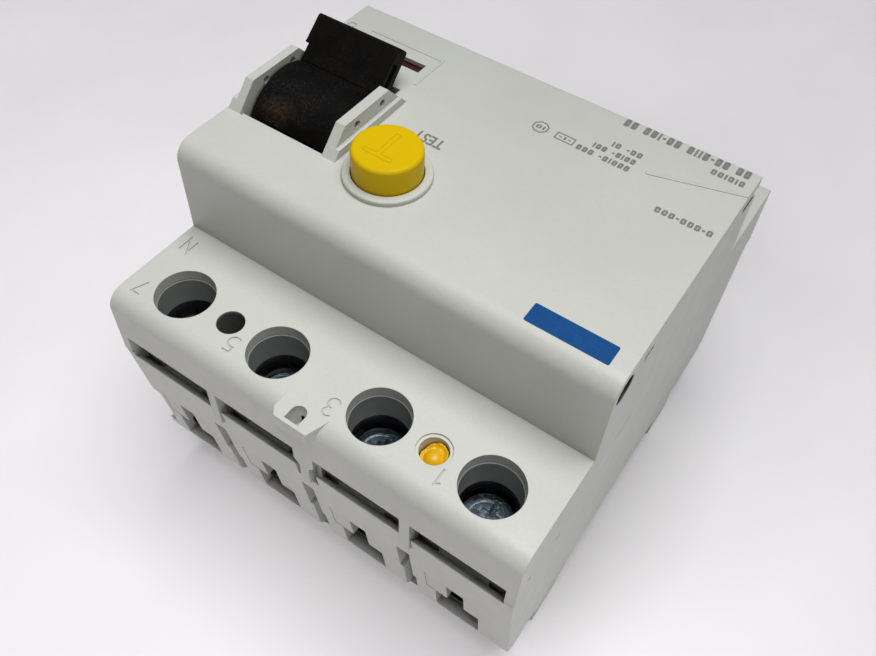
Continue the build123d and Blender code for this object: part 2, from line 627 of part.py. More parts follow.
# Contact shaft and moving contacts, drawn turned up to the open position -------------------
OPEN_PLANE = Plane(
    origin=(0, SHAFT_Y, SHAFT_Z),
    x_dir=(0, cos(radians(OPEN_ANGLE)), sin(radians(OPEN_ANGLE))),
    z_dir=(1, 0, 0),
)
ARM_V = (-1.4, 0.4)
ARM_HALF_X = 2.2


def turned(us, vs, xs, mode=Mode.ADD):
    """A box in the open contact arm's own directions: along it, across it, and along X."""
    across(((us[0], vs[0]), (us[1], vs[0]), (us[1], vs[1]), (us[0], vs[1])), xs, mode, OPEN_PLANE)


with BuildPart() as contact_shaft:
    bar(SHAFT_R, (-30.4, 30.4), SHAFT_Y, SHAFT_Z)
    bar(TRUNNION_R, (-32.3, 32.3), SHAFT_Y, SHAFT_Z)
    for pole in POLES:
        turned((-4.0, 9.0), (-3.4, 6.0), (pole - 3.6, pole + 3.6))
        channel = (pole - ARM_HALF_X - 0.1, pole + ARM_HALF_X + 0.1)
        turned((-5.0, 10.0), (ARM_V[0] - 0.06, 4.6), channel, Mode.SUBTRACT)
    # crank that the lever's link pushes
    lug = radians(CRANK_ANGLE)
    tip_u, tip_v = CRANK_R * cos(lug), CRANK_R * sin(lug)
    half_w = 3.0
    side_u, side_v = -sin(lug) * half_w, cos(lug) * half_w
    root = ((side_u, side_v), (-side_u, -side_v))
    tip = ((tip_u - side_u, tip_v - side_v), (tip_u + side_u, tip_v + side_v))
    across(root + tip, CRANK_X, Mode.ADD, OPEN_PLANE)
    with BuildSketch(OPEN_PLANE.offset(CRANK_X[0])):
        with Locations((tip_u, tip_v)):
            Circle(half_w)
    extrude(amount=CRANK_X[1] - CRANK_X[0])
    with BuildSketch(OPEN_PLANE.offset(CRANK_X[0] - 0.1)):
        with Locations((tip_u, tip_v)):
            Circle(LINK_R + 1.1)
    extrude(amount=CRANK_X[1] - CRANK_X[0] + 0.2, mode=Mode.SUBTRACT)
save(contact_shaft, "contact_shaft")

with BuildPart() as moving_contacts:
    for pole in POLES:
        turned((-4.6, 18.0), ARM_V, (pole - ARM_HALF_X, pole + ARM_HALF_X))
save(moving_contacts, "moving_contacts")

with BuildPart() as moving_contact_tips:
    for pole in POLES:
        turned((14.4, 17.8), (ARM_V[0] - 1.65, ARM_V[0] - 0.02), (pole - 1.8, pole + 1.8))
save(moving_contact_tips, "moving_contact_tips")


def coil(radius, wire, pitch, height, start, direction):
    """A round-wire helix that starts at a point and runs in a direction."""
    with BuildPart() as spring:
        with BuildLine():
            turns = Helix(pitch=pitch, height=height, radius=radius, center=start, direction=direction)
        with BuildSketch(Plane(origin=turns @ 0, z_dir=turns % 0)):
            Circle(wire)
        sweep()
    return spring.part


SPRING_SEAT = (6.2, ARM_V[1] + 0.45)
contact_coils = [
    coil(1.3, 0.25, 1.1, 3.3, OPEN_PLANE.from_local_coords((*SPRING_SEAT, pole)), OPEN_PLANE.y_dir)
    for pole in POLES
]
with BuildPart() as contact_springs:
    add(contact_coils)
save(contact_springs, "contact_springs")

# Arc chutes: notched steel plates between fibre sides ---------------------------------------
CHUTE_Y = (24.6, 27.9)
with BuildPart() as arc_plates:
    for pole in POLES:
        for level in range(5):
            z = 22.4 + 2.2 * level
            with BuildSketch(Plane.XY.offset(z)):
                with BuildLine():
                    Polyline(
                        (pole - 5.2, CHUTE_Y[0]),
                        (pole - 2.4, CHUTE_Y[0]),
                        (pole, CHUTE_Y[1] - 1.2),
                        (pole + 2.4, CHUTE_Y[0]),
                        (pole + 5.2, CHUTE_Y[0]),
                        (pole + 5.2, CHUTE_Y[1]),
                        (pole - 5.2, CHUTE_Y[1]),
                        close=True,
                    )
                make_face()
            extrude(amount=0.9)
save(arc_plates, "arc_plates")

with BuildPart() as arc_sides:
    for pole in POLES:
        for sign in (1, -1):
            block((pole + sign * 5.25, pole + sign * 6.25), CHUTE_Y, (21.4, 33.4))
save(arc_sides, "arc_sides")


# Lever, its spring, axle and link -----------------------------------------------------------
def swept(points, radius, wire):
    """A round wire along a polyline with rounded corners."""
    with BuildPart() as rod:
        with BuildLine() as path:
            FilletPolyline(*points, radius=radius)
        with BuildSketch(Plane(origin=path.line @ 0, z_dir=path.line % 0)):
            Circle(wire)
        sweep(path=path.line)
    return rod.part


def around(angle, radius, centre):
    """A point at an angle from straight up, turning towards +Y."""
    return (centre[0] + radius * sin(radians(angle)), centre[1] + radius * cos(radians(angle)))


DRUM_CENTRE = (DRUM_Y, DRUM_Z)
SHELL_R = 7.4
SHELL_GAP = (58, 218)
EYE_X = CRANK_X
EYE = (DRUM_Y + EYE_R, DRUM_Z)
BLADE_ROOT = ((-1.07, 60.9), (-1.8, 62.2), (-4.55, 64.525), (-6.675, 62.675), (-4.3, 60.2), (-3.1, 59.2))
BLADE_TIP = ((-3.725, 63.8275), (-7.465, 66.9895), (-9.1925, 65.2985), (-5.9625, 61.9325))
BLADE_TIP_X = (17.6, 32.75)
CLIPPED_CORNERS = (((16.6, 65.3), (18.9, 67.6), (16.6, 67.6)), ((33.8, 65.7), (31.9, 67.6), (33.8, 67.6)))


with BuildPart() as toggle:
    bar(DRUM_R, DRUM_X, DRUM_Y, DRUM_Z)
    bar(SHELL_R, (DRUM_X[0] + 1.3, DRUM_X[1] - 1.3), DRUM_Y, DRUM_Z, Mode.SUBTRACT)
    # the shell is open underneath for the link
    wedge = [DRUM_CENTRE] + [around(SHELL_GAP[0] + 20 * step, 12, DRUM_CENTRE) for step in range(9)]
    across(wedge, (DRUM_X[0] + 1.3, DRUM_X[1] - 1.3), Mode.SUBTRACT)
    bar(2.3, (DRUM_X[0] + 1, DRUM_X[1] - 1), DRUM_Y, DRUM_Z)
    block(EYE_X, (DRUM_Y, EYE[0]), (DRUM_Z - 1.8, DRUM_Z + 1.8))
    bar(1.8, EYE_X, EYE[0], EYE[1])
    bar(LINK_R + 0.1, (EYE_X[0] - 0.1, EYE_X[1] + 0.1), EYE[0], EYE[1], Mode.SUBTRACT)
    bar(AXLE_R + 0.06, (DRUM_X[0] - 1, DRUM_X[1] + 1), DRUM_Y, DRUM_Z, Mode.SUBTRACT)
    # the outer end of the blade reaches over one cheek and has clipped corners
    across(BLADE_ROOT, DRUM_X)
    with BuildSketch(Plane.YZ.offset(BLADE_TIP_X[0])) as blade_tip:
        with BuildLine():
            Polyline(*BLADE_TIP, close=True)
        make_face()
        fillet(blade_tip.vertices().sort_by(Axis.Y)[-2:], 0.45)
    extrude(amount=BLADE_TIP_X[1] - BLADE_TIP_X[0])
    for corner in CLIPPED_CORNERS:
        with BuildSketch(Plane.XZ.offset(4)):
            with BuildLine():
                Polyline(*corner, close=True)
            make_face()
        extrude(amount=7, mode=Mode.SUBTRACT)
    # oblong recess in the end of the blade
    recess = ((-3.9, 61.4), (-6.8, 64.3), (-5.9, 65.0), (-2.9, 62.2))
    across(recess, (DRUM_X[0] - 1, DRUM_X[0] + 0.7), Mode.SUBTRACT)
save(toggle, "toggle")

with BuildPart() as toggle_axle:
    bar(AXLE_R, (16.1, 33.1), DRUM_Y, DRUM_Z)
save(toggle_axle, "toggle_axle")

spring_coil = coil(3.0, 0.3, 0.75, 5.6, (23.7, DRUM_Y, DRUM_Z), (1, 0, 0))
with BuildPart() as toggle_spring:
    add(spring_coil)
save(toggle_spring, "toggle_spring")

CRANK_PIN = (
    SHAFT_Y + CRANK_R * cos(radians(OPEN_ANGLE + CRANK_ANGLE)),
    SHAFT_Z + CRANK_R * sin(radians(OPEN_ANGLE + CRANK_ANGLE)),
)
link_wire = swept(((22.5, *EYE), (LINK_X, *EYE), (LINK_X, *CRANK_PIN), (22.5, *CRANK_PIN)), 0.9, LINK_R)
with BuildPart() as drive_link:
    add(link_wire)
save(drive_link, "drive_link")

# Mechanism frame and indicator ---------------------------------------------------------------
FRAME_Y = (-12.0, 14.0)
FRAME_Z = (34.0, 57.5)
TRIP_Y = (-7.8, -4.2)
with BuildPart() as mechanism_frame:
    for low, high in FRAME_X:
        block((low, high), FRAME_Y, FRAME_Z)
        block((low, high), (FLAG_Y - 2.5, FRAME_Y[0] + 1), (FLAG_Z - 2, FLAG_Z + 2))
        block((low, high), (FRAME_Y[0], FRAME_Y[0] + 2.4), (FLOOR_Z + 0.1, FRAME_Z[0] + 1))
        block((low, high), (FRAME_Y[1] - 2, FRAME_Y[1]), (FLOOR_Z + 0.1, FRAME_Z[0] + 1))
    block((FRAME_X[0][1] - 0.5, FRAME_X[1][0] + 0.5), (FRAME_Y[0], -2.0), (FRAME_Z[0], FRAME_Z[0] + 0.9))
    trip_gap = (TRIP_Y[0] - 0.7, TRIP_Y[1] + 0.7)
    block((FRAME_X[0][0] - 1, FRAME_X[0][1] + 1), trip_gap, (38.5, 49.0), Mode.SUBTRACT)
    for near, far in ((TRIP_Y[0] - 0.4, TRIP_Y[0] - 1.4), (TRIP_Y[1] + 0.4, TRIP_Y[1] + 1.4)):
        block((TRIP_X - 1.1, FRAME_X[0][0] + 0.1), (near, far), (TRIP_Z - 1.0, TRIP_Z + 1.2))
    spindle(0.72, TRIP_X, (TRIP_Y[0] - 2, TRIP_Y[1] + 2), TRIP_Z, Mode.SUBTRACT)
    bar(AXLE_R + 0.02, (16, 34), DRUM_Y, DRUM_Z, Mode.SUBTRACT)
    bar(0.82, (16, 34), FLAG_Y, FLAG_Z, Mode.SUBTRACT)
save(mechanism_frame, "mechanism_frame")

FLAG_PIVOT = (FLAG_Y, FLAG_Z)
FLAG_ARC = (-7.5, 19.5)
with BuildPart() as indicator_flag:
    arc_steps = [FLAG_ARC[0] + (FLAG_ARC[1] - FLAG_ARC[0]) * step / 4 for step in range(5)]
    outer = [around(angle, FLAG_R, FLAG_PIVOT) for angle in arc_steps]
    inner = [around(angle, FLAG_R - 1.0, FLAG_PIVOT) for angle in reversed(arc_steps)]
    across(outer + inner, (18.0, 28.0))
    across(outer + [(FLAG_Y + 1.5, FLAG_Z + 0.5), (FLAG_Y - 1.5, FLAG_Z + 0.5)], (18.0, 19.2))
    bar(1.8, (18.0, 20.5), FLAG_Y, FLAG_Z)
    bar(0.86, (17, 22), FLAG_Y, FLAG_Z, Mode.SUBTRACT)
save(indicator_flag, "indicator_flag")

with BuildPart() as indicator_pin:
    bar(0.8, (16.2, 33.1), FLAG_Y, FLAG_Z)
save(indicator_pin, "indicator_pin")

with BuildPart() as trip_lever:
    block((TRIP_X - 0.4, TRIP_X + 0.4), TRIP_Y, (TRIP_Z, 44.6))
    spindle(1.1, TRIP_X, TRIP_Y, TRIP_Z)
    spindle(0.76, TRIP_X, (TRIP_Y[0] - 1, TRIP_Y[1] + 1), TRIP_Z, Mode.SUBTRACT)
save(trip_lever, "trip_lever")

with BuildPart() as trip_pin:
    spindle(0.7, TRIP_X, (TRIP_Y[0] - 1.4, TRIP_Y[1] + 1.4), TRIP_Z)
save(trip_pin, "trip_pin")


# Trip relay ----------------------------------------------------------------------------------
def inset(pair, amount):
    """A range narrowed at both ends."""
    return (pair[0] + amount, pair[1] - amount)


with BuildPart() as relay_case:
    block(RELAY_X, RELAY_Y, RELAY_Z)
    block(inset(RELAY_X, 1), inset(RELAY_Y, 1), inset(RELAY_Z, 1), Mode.SUBTRACT)
    bar(PLUNGER_R + 0.08, (RELAY_X[1] - 2, RELAY_X[1] + 1), PLUNGER_Y, PLUNGER_Z, Mode.SUBTRACT)
save(relay_case, "relay_case")

with BuildPart() as relay_yoke:
    block((8.9, 9.9), (-9.5, -2.5), (37.5, 46.9))
    block((-1.2, -0.1), (-9.5, -2.5), (37.5, 46.9))
    block((-1.2, 9.9), (-9.5, -2.5), (45.85, 46.9))
    bar(PLUNGER_R + 0.3, (8, 11), PLUNGER_Y, PLUNGER_Z, Mode.SUBTRACT)
save(relay_yoke, "relay_yoke")

with BuildPart() as relay_coil:
    bar(4.0, (0.0, 8.8), PLUNGER_Y, PLUNGER_Z)
    bar(3.2, (0.8, 8.0), PLUNGER_Y, PLUNGER_Z, Mode.SUBTRACT)
    bar(3.8, (0.8, 8.0), PLUNGER_Y, PLUNGER_Z)
    bar(1.6, (-1, 10), PLUNGER_Y, PLUNGER_Z, Mode.SUBTRACT)
save(relay_coil, "relay_coil")

with BuildPart() as relay_magnet:
    block((-4.8, -1.3), (-9.5, -2.5), (38.5, 45.0))
save(relay_magnet, "relay_magnet")

with BuildPart() as relay_plunger:
    bar(PLUNGER_R, (0.4, 14.6), PLUNGER_Y, PLUNGER_Z)
save(relay_plunger, "relay_plunger")

# Current transformer and the conductors through it --------------------------------------------
with BuildPart() as toroid_case:
    spindle(RING_R, RING_X, (RING_Y[0], RING_Y[1] - 1), RING_Z)
    spindle(RING_R - 1.1, RING_X, (RING_Y[0] + 1, RING_Y[1] + 1), RING_Z, Mode.SUBTRACT)
    spindle(RING_BORE_R + 1, RING_X, (RING_Y[0], RING_Y[1] - 1), RING_Z)
    spindle(RING_BORE_R, RING_X, (RING_Y[0] - 1, RING_Y[1] + 1), RING_Z, Mode.SUBTRACT)
save(toroid_case, "toroid_case")

with BuildPart() as toroid_core:
    spindle(RING_R - 1.3, RING_X, (RING_Y[0] + 1.1, RING_Y[1] - 1.4), RING_Z)
    spindle(RING_BORE_R + 1.2, RING_X, (RING_Y[0], RING_Y[1]), RING_Z, Mode.SUBTRACT)
save(toroid_core, "toroid_core")

with BuildPart() as toroid_lid:
    spindle(RING_R, RING_X, (RING_Y[1] - 0.95, RING_Y[1]), RING_Z)
    spindle(RING_BORE_R, RING_X, (RING_Y[1] - 2, RING_Y[1] + 1), RING_Z, Mode.SUBTRACT)
save(toroid_lid, "toroid_lid")

CONDUCTOR_BEND = 3.3
CONDUCTOR_FRONT_Y = -4.6
CONDUCTOR_REAR_Y = -22.5
CONDUCTOR_END_Y = -27.4
CONDUCTOR_STEP = 2.7


def conductor(pole, level):
    """A pole's conductor: across, through the transformer, back across, out to its bar."""
    outward = 1 if pole > 0 else -1
    bore_x = RING_X + 2.0 * outward
    z = RING_Z + level * CONDUCTOR_STEP
    path = (
        (pole + 2.0 * outward, CONDUCTOR_FRONT_Y, z),
        (bore_x, CONDUCTOR_FRONT_Y, z),
        (bore_x, CONDUCTOR_REAR_Y, z),
        (pole, CONDUCTOR_REAR_Y, z),
        (pole, CONDUCTOR_END_Y, z),
    )
    return swept(path, CONDUCTOR_BEND, WIRE_R)


LEVELS = (1, -1, 1, -1)
conductor_runs = [conductor(pole, level) for pole, level in zip(POLES, LEVELS)]
with BuildPart() as pole_conductors:
    add(conductor_runs)
save(pole_conductors, "pole_conductors")

# Test circuit ----------------------------------------------------------------------------------
with BuildPart() as circuit_board:
    block((-30.0, 14.2), (-16.0, 19.0), BOARD_Z)
    for x, y in BOARD_POSTS:
        post(0.95, x, y, (BOARD_Z[0] - 1, BOARD_Z[1] + 1), Mode.SUBTRACT)
    post(2.6, BUTTON_X, BUTTON_Y, (BOARD_Z[0] - 1, BOARD_Z[1] + 1), Mode.SUBTRACT)
save(circuit_board, "circuit_board")

with BuildPart() as board_screws:
    for x, y in BOARD_POSTS:
        post(1.5, x, y, (BOARD_Z[0] - 1.0, BOARD_Z[0] - 0.05))
        post(0.72, x, y, (BOARD_Z[0] - 0.1, BOARD_Z[1] + 4))
save(board_screws, "board_screws")

with BuildPart() as test_resistor:
    spindle(1.3, -16.0, (-6.0, 1.5), BOARD_Z[1] + 1.5)
    spindle(0.35, -16.0, (-8.2, 3.7), BOARD_Z[1] + 1.5)
    for y in (-7.9, 3.4):
        post(0.35, -16.0, y, (BOARD_Z[1] + 0.05, BOARD_Z[1] + 1.5))
save(test_resistor, "test_resistor")

with BuildPart() as board_capacitor:
    block((-27.0, -21.5), (-5.0, 5.0), (BOARD_Z[1] + 0.3, BOARD_Z[1] + 6.3))
    fillet(board_capacitor.edges().filter_by(Axis.Z), 0.6)
    for y in (-3.5, 3.5):
        post(0.35, -24.25, y, (BOARD_Z[1] + 0.05, BOARD_Z[1] + 0.5))
save(board_capacitor, "board_capacitor")

with BuildPart() as test_contact:
    strip_x = (BUTTON_X - 1.8, BUTTON_X + 1.8)
    block(strip_x, (BUTTON_Y - 2.0, BUTTON_Y + 7.0), (BOARD_Z[0] - 2.3, BOARD_Z[0] - 2.0))
    block(strip_x, (BUTTON_Y + 6.6, BUTTON_Y + 7.0), (BOARD_Z[0] - 2.3, BOARD_Z[0] - 0.1))
save(test_contact, "test_contact")

with BuildPart() as test_button:
    post(BUTTON_R, BUTTON_X, BUTTON_Y, (CAP_UNDER - 0.8, BUTTON_TOP))
    fillet(test_button.edges().group_by(Axis.Z)[-1], 0.6)
    post(BUTTON_R + 1.25, BUTTON_X, BUTTON_Y, (CAP_UNDER - 1.2, CAP_UNDER - 0.1))
    post(2.0, BUTTON_X, BUTTON_Y, (49.5, CAP_UNDER - 1))
save(test_button, "test_button")

return_spring = coil(3.3, 0.35, 1.55, 6.0, (BUTTON_X, BUTTON_Y, BOARD_Z[1] + 0.45), (0, 0, 1))
with BuildPart() as button_spring:
    add(return_spring)
save(button_spring, "button_spring")
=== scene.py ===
import json
import math

import bmesh
import bpy
from mathutils import Matrix, Vector


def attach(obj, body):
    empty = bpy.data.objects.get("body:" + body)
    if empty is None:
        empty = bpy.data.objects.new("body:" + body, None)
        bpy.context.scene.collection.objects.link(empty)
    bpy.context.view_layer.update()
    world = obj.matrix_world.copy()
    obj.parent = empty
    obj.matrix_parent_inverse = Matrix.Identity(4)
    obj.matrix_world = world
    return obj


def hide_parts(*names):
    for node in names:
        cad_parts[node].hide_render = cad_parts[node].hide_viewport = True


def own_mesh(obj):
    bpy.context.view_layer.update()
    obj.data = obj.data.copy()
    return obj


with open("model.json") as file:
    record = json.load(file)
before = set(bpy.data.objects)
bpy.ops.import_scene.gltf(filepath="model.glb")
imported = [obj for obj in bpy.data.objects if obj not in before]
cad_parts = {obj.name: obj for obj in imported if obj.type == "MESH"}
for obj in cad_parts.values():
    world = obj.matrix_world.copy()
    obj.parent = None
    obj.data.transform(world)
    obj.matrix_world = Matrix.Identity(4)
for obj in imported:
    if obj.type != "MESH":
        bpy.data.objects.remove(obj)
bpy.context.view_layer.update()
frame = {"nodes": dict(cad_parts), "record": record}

MM = 0.001
CAP_Z = 60.0
SHOULDER_Z = 44.0
BUTTON_TOP = 65.0
BUTTON_XY = (7.55, 9.3)
PLUG_XY = (-17.45, 33.1)
PRINT = 0.03


# Node helpers ------------------------------------------------------------------------------
class Shader:
    """A node material with a principled shader and short ways to add nodes to it."""

    def __init__(self, name):
        self.material = bpy.data.materials.new(name)
        self.material.use_nodes = True
        self.tree = self.material.node_tree
        self.bsdf = self.tree.nodes["Principled BSDF"]
        coordinates = self.add("ShaderNodeTexCoord")
        self.place = coordinates.outputs["Object"]

    def add(self, kind, **settings):
        node = self.tree.nodes.new(kind)
        for key, value in settings.items():
            setattr(node, key, value)
        return node

    def join(self, output, target):
        self.tree.links.new(output, target)

    def noise(self, size_mm, detail=3.0, stretch=(1, 1, 1)):
        """Noise whose features are about size_mm across."""
        scale = self.add("ShaderNodeMapping")
        scale.inputs["Scale"].default_value = [factor / (size_mm * MM) for factor in stretch]
        self.join(self.place, scale.inputs["Vector"])
        noise = self.add("ShaderNodeTexNoise")
        noise.inputs["Scale"].default_value = 1.0
        noise.inputs["Detail"].default_value = detail
        self.join(scale.outputs["Vector"], noise.inputs["Vector"])
        return noise.outputs["Fac"]

    def spot(self, centre, radii):
        """1 at a point, falling to 0 at an ellipsoid round it; all in millimetres."""
        shift = self.add("ShaderNodeVectorMath", operation="SUBTRACT")
        shift.inputs[1].default_value = [value * MM for value in centre]
        self.join(self.place, shift.inputs[0])
        scale = self.add("ShaderNodeVectorMath", operation="DIVIDE")
        scale.inputs[1].default_value = [value * MM for value in radii]
        self.join(shift.outputs[0], scale.inputs[0])
        length = self.add("ShaderNodeVectorMath", operation="LENGTH")
        self.join(scale.outputs[0], length.inputs[0])
        return self.span(length.outputs["Value"], 1.0, 0.0, 0.0, 1.0)

    def span(self, value, low, high, to_low=0.0, to_high=1.0):
        """A value remapped from one range to another, clamped."""
        node = self.add("ShaderNodeMapRange")
        node.inputs["From Min"].default_value = low
        node.inputs["From Max"].default_value = high
        node.inputs["To Min"].default_value = to_low
        node.inputs["To Max"].default_value = to_high
        self.join(value, node.inputs["Value"])
        return node.outputs["Result"]

    def times(self, first, second):
        node = self.add("ShaderNodeMath", operation="MULTIPLY")
        self.join(first, node.inputs[0])
        if isinstance(second, float):
            node.inputs[1].default_value = second
        else:
            self.join(second, node.inputs[1])
        return node.outputs[0]

    def mix(self, factor, first, second):
        """A colour between two colours; each is a tuple or an output."""
        node = self.add("ShaderNodeMix", data_type="RGBA")
        self.join(factor, node.inputs["Factor"])
        for socket, colour in ((node.inputs[6], first), (node.inputs[7], second)):
            if isinstance(colour, tuple):
                socket.default_value = (*colour, 1.0)
            else:
                self.join(colour, socket)
        return node.outputs[2]

    def along(self, axis, low_mm, high_mm, to_low=0.0, to_high=1.0):
        """A ramp between two places on the X, Y or Z axis, in millimetres."""
        parts = self.add("ShaderNodeSeparateXYZ")
        self.join(self.place, parts.inputs[0])
        return self.span(parts.outputs[axis], low_mm * MM, high_mm * MM, to_low, to_high)

    def crevices(self, reach_mm, samples=6):
        """0 in tight corners and holes, 1 on open surfaces."""
        node = self.add("ShaderNodeAmbientOcclusion", samples=samples)
        node.inputs["Distance"].default_value = reach_mm * MM
        return node.outputs["AO"]

    def colour(self, output):
        self.join(output, self.bsdf.inputs["Base Color"])

    def roughness(self, output):
        self.join(output, self.bsdf.inputs["Roughness"])

    def bump(self, height, distance_mm, round_mm=0.0, strength=1.0):
        """Surface relief, over edges rounded by round_mm."""
        bump = self.add("ShaderNodeBump")
        bump.inputs["Distance"].default_value = distance_mm * MM
        bump.inputs["Strength"].default_value = strength
        self.join(height, bump.inputs["Height"])
        if round_mm:
            bevel = self.add("ShaderNodeBevel", samples=4)
            bevel.inputs["Radius"].default_value = round_mm * MM
            self.join(bevel.outputs["Normal"], bump.inputs["Normal"])
        self.join(bump.outputs["Normal"], self.bsdf.inputs["Normal"])

    def set(self, **values):
        for key, value in values.items():
            self.bsdf.inputs[key.replace("_", " ")].default_value = value


# Materials ---------------------------------------------------------------------------------
# Painted shade: the case colour is made darker from Y = 36 mm towards Y = -24 mm, the far end.
PAINTED_FALLOFF_Y = (-24.0, 36.0)
WELL_RADII = (3.0, 3.0, 40.0)
# Painted shade: dark grey painted into the open wells below the shoulder.
WELL_PAINTED_SHADE = (0.125, 0.124, 0.118)
WELL_PLACES = ((17.45, 33.1), (17.45, -33.1), (-17.45, -33.1))
# Painted shade: near-black painted onto the inner walls of the holes in the -X side.
SIDE_PIT_PAINTED_SHADE = (0.030, 0.026, 0.021)
SIDE_X = -35.0
SIDE_PIT_DEPTH = 3.0
# Y, Z, half length and half height of each
SIDE_PITS = ((19.3, 56.4, 2.9, 2.9), (12.95, 56.75, 3.4, 1.5), (-19.8, 57.0, 2.6, 1.5))


def moulded(name, light, dark, rough, round_mm=0.12, grain=0.35, relief=0.006):
    """Moulded plastic: a slow drift between two tones and a fine spark-eroded grain."""
    shader = Shader(name)
    drift = shader.noise(22.0, 2.0)
    shader.colour(shader.mix(shader.span(drift, 0.3, 0.7), dark, light))
    shader.roughness(shader.span(shader.noise(3.0), 0.3, 0.7, rough - 0.05, rough + 0.06))
    shader.bump(shader.noise(grain, 2.0), relief, round_mm)
    shader.set(IOR=1.5)
    return shader


def case_plastic():
    """Light grey plastic with painted shade in its slots, wells and side pits, and painted shade that
    darkens it towards the far end.
    """
    shader = Shader("case_plastic")
    drift = shader.span(shader.noise(22.0, 2.0), 0.3, 0.7)
    lit_near_tone = shader.mix(drift, (0.605, 0.620, 0.583), (0.645, 0.658, 0.622))
    # Painted shade: the far tones are a darker copy of the near tones.
    far = shader.mix(drift, (0.470, 0.486, 0.452), (0.500, 0.516, 0.482))
    tone = shader.mix(shader.along("Y", *PAINTED_FALLOFF_Y), far, lit_near_tone)
    grains = shader.span(shader.noise(0.45, 3.0), 0.35, 0.65, 0.0, 0.09)
    speckle = shader.mix(grains, tone, (0.40, 0.41, 0.40))
    # Painted shade: brown-grey painted into crevices, slots and holes found by ambient occlusion.
    shade = shader.span(shader.crevices(1.2), 0.12, 0.56)
    colour = shader.mix(shade, (0.240, 0.205, 0.155), speckle)
    below_shoulder = shader.along("Z", SHOULDER_Z - 0.08, SHOULDER_Z - 0.5)
    # Painted shade in the three open wells.
    for x, y in WELL_PLACES:
        well = shader.span(shader.spot((x, y, SHOULDER_Z), WELL_RADII), 0.0, 0.08)
        colour = shader.mix(shader.times(well, below_shoulder), colour, WELL_PAINTED_SHADE)
    # Painted shade inside the side holes.
    inside_wall = shader.along("X", SIDE_X + 0.02, SIDE_X + 0.15)
    for y, z, half_length, half_height in SIDE_PITS:
        pit = shader.span(shader.spot((SIDE_X, y, z), (SIDE_PIT_DEPTH, half_length, half_height)), 0.0, 0.08)
        colour = shader.mix(shader.times(pit, inside_wall), colour, SIDE_PIT_PAINTED_SHADE)
    shader.colour(colour)
    shader.roughness(shader.span(shader.noise(3.0), 0.3, 0.7, 0.40, 0.52))
    shader.bump(shader.noise(0.35, 2.0), 0.006, 0.14)
    shader.set(IOR=1.5, Specular_IOR_Level=0.42)
    return shader.material


DRUM_FRONT_Y = (-4.0, 0.5)
RUB_CENTRE = (28.2, 8.1, 60.3)
RUB_RADII = (3.8, 2.3, 3.0)


def lever_plastic():
    """Black plastic with handling dust and a brown rub mark on the drum."""
    shader = Shader("lever_plastic")
    drift = shader.span(shader.noise(5.0), 0.35, 0.65)
    body = shader.mix(drift, (0.0018, 0.0018, 0.002), (0.005, 0.0042, 0.0034))
    specks = shader.span(shader.noise(0.16, 4.0), 0.57, 0.72)
    patches = shader.span(shader.noise(4.0, 3.0), 0.36, 0.64)
    drum = shader.along("Y", *DRUM_FRONT_Y, 0.30, 1.0)
    dust = shader.times(shader.times(specks, patches), drum)
    dusty = shader.mix(shader.times(dust, 0.5), body, (0.11, 0.118, 0.134))
    broken = shader.span(shader.noise(0.6, 4.0), 0.30, 0.66)
    rub = shader.times(shader.spot(RUB_CENTRE, RUB_RADII), broken)
    shader.colour(shader.mix(shader.times(rub, 0.65), dusty, (0.085, 0.050, 0.030)))
    shader.roughness(shader.span(shader.noise(1.2, 4.0), 0.3, 0.7, 0.48, 0.66))
    shader.bump(shader.noise(0.25, 3.0), 0.010, 0.15)
    shader.set(Specular_IOR_Level=0.08)
    return shader.material


def yellow_plastic():
    shader = moulded("yellow_plastic", (0.70, 0.485, 0.0005), (0.66, 0.445, 0.0004), 0.42, 0.1, 0.3, 0.004)
    shader.set(Specular_IOR_Level=0.1)
    return shader.material


def seal_wax():
    return moulded("seal_wax", (0.75, 0.44, 0.0006), (0.70, 0.40, 0.0005), 0.36, 0.1, 0.3, 0.004).material


SLEEVE_LIP_Z = (37.2, 37.6)


def sleeve_plastic():
    """Grey moulded sleeves, painted near-black below their lower lip as painted shade."""
    shader = Shader("dark_plastic")
    grey = shader.mix(shader.span(shader.noise(6.0), 0.3, 0.7), (0.230, 0.238, 0.230), (0.275, 0.284, 0.275))
    # Painted shade: near-black below the lip.
    shader.colour(shader.mix(shader.along("Z", *SLEEVE_LIP_Z), (0.008, 0.008, 0.008), grey))
    shader.roughness(shader.span(shader.noise(2.0), 0.3, 0.7, 0.42, 0.55))
    shader.bump(shader.noise(0.35, 2.0), 0.006, 0.1)
    shader.set(Specular_IOR_Level=0.35)
    return shader.material


def metal(name, light, dark, rough, stretch=(1, 1, 1), grain=0.4, relief=0.006):
    """Plated or bare metal with uneven reflection."""
    shader = Shader(name)
    shader.colour(shader.mix(shader.span(shader.noise(1.8, 4.0), 0.32, 0.68), dark, light))
    shader.roughness(shader.span(shader.noise(grain, 3.0, stretch), 0.3, 0.7, rough - 0.07, rough + 0.1))
    shader.bump(shader.noise(grain, 2.0, stretch), relief, 0.08)
    shader.set(Metallic=1.0)
    return shader.material


FLAG_SPLIT_Y = (-10.8, -10.6)


def flag_face():
    """Indicator drum: dark red half and green half, seen through the window."""
    shader = Shader("indicator_face")
    drift = shader.span(shader.noise(1.5), 0.35, 0.65)
    red = shader.mix(drift, (0.030, 0.003, 0.003), (0.052, 0.006, 0.006))
    shader.colour(shader.mix(shader.along("Y", *FLAG_SPLIT_Y), red, (0.05, 0.16, 0.06)))
    shader.roughness(shader.span(shader.noise(0.6), 0.3, 0.7, 0.4, 0.6))
    shader.bump(shader.noise(0.4), 0.006)
    return shader.material


def printed(name, light, dark):
    """Pad-printed ink, slightly uneven."""
    shader = Shader(name)
    shader.colour(shader.mix(shader.span(shader.noise(0.35, 4.0), 0.35, 0.65), dark, light))
    shader.roughness(shader.span(shader.noise(0.5), 0.3, 0.7, 0.5, 0.65))
    shader.set(Specular_IOR_Level=0.2)
    return shader.material


